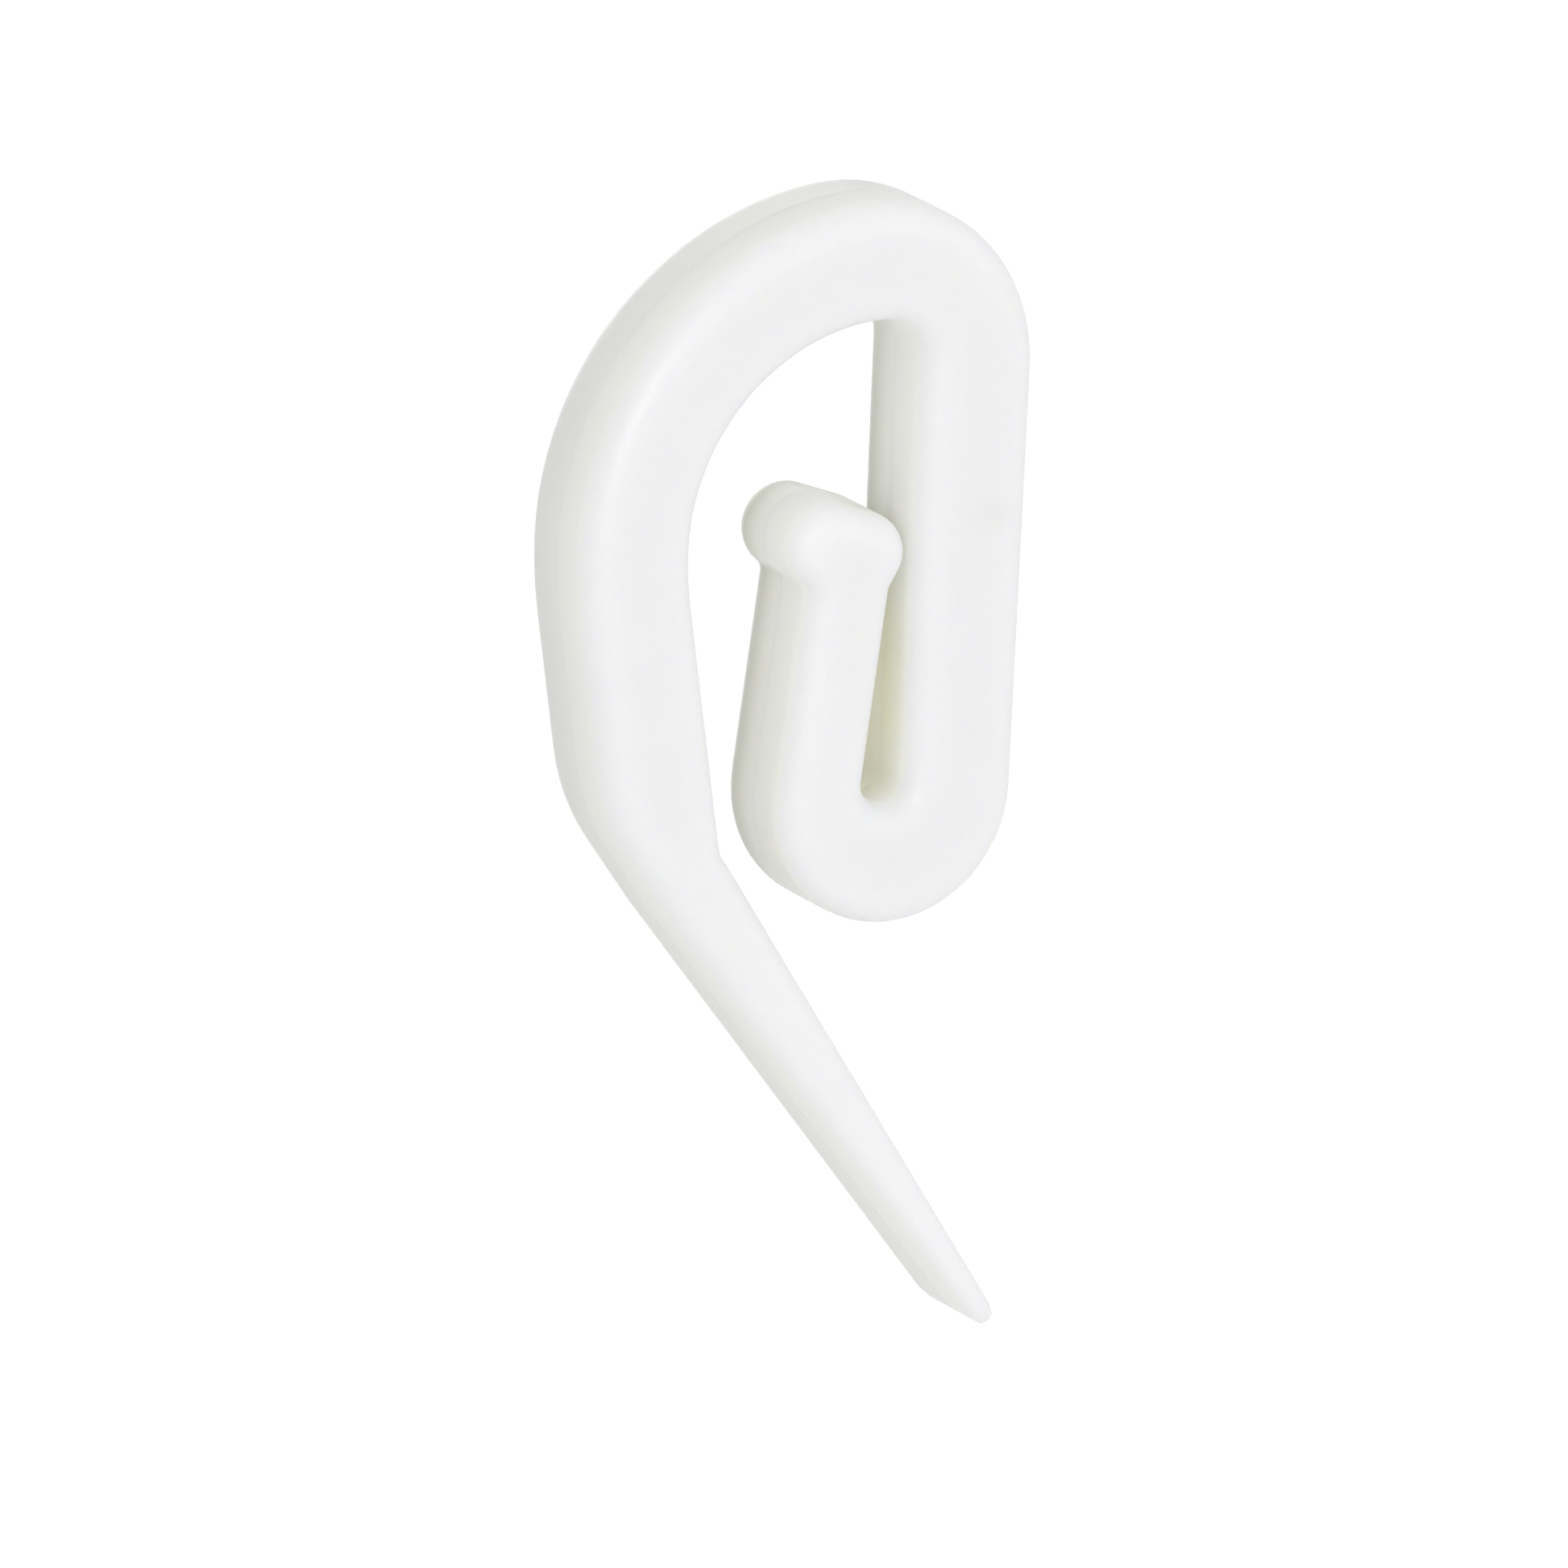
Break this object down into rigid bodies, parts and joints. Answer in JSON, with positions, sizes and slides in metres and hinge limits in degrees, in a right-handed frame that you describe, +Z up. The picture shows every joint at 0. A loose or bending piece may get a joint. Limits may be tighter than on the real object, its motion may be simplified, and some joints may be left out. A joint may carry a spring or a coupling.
{
  "type": "curtain hook",
  "caption": "Moulded plastic curtain hook: a flat bar bent into an arch over a straight stem, with a barbed spring tongue beside the stem and a long tapering tail.",
  "frame": {"origin": "top of the seat, the inner corner between arch and stem where the glider's eye hangs, at half depth", "axes": "+X from the arm to the stem, +Y from the front face to the back, +Z up as the hook hangs"},
  "size_m": [0.0139, 0.0036, 0.0322],
  "materials": {
    "white_nylon": "satin, slightly translucent white moulding"
  },
  "bodies": {
    "root": {"curtain_hook": "white_nylon"}
  },
  "joints": []
}
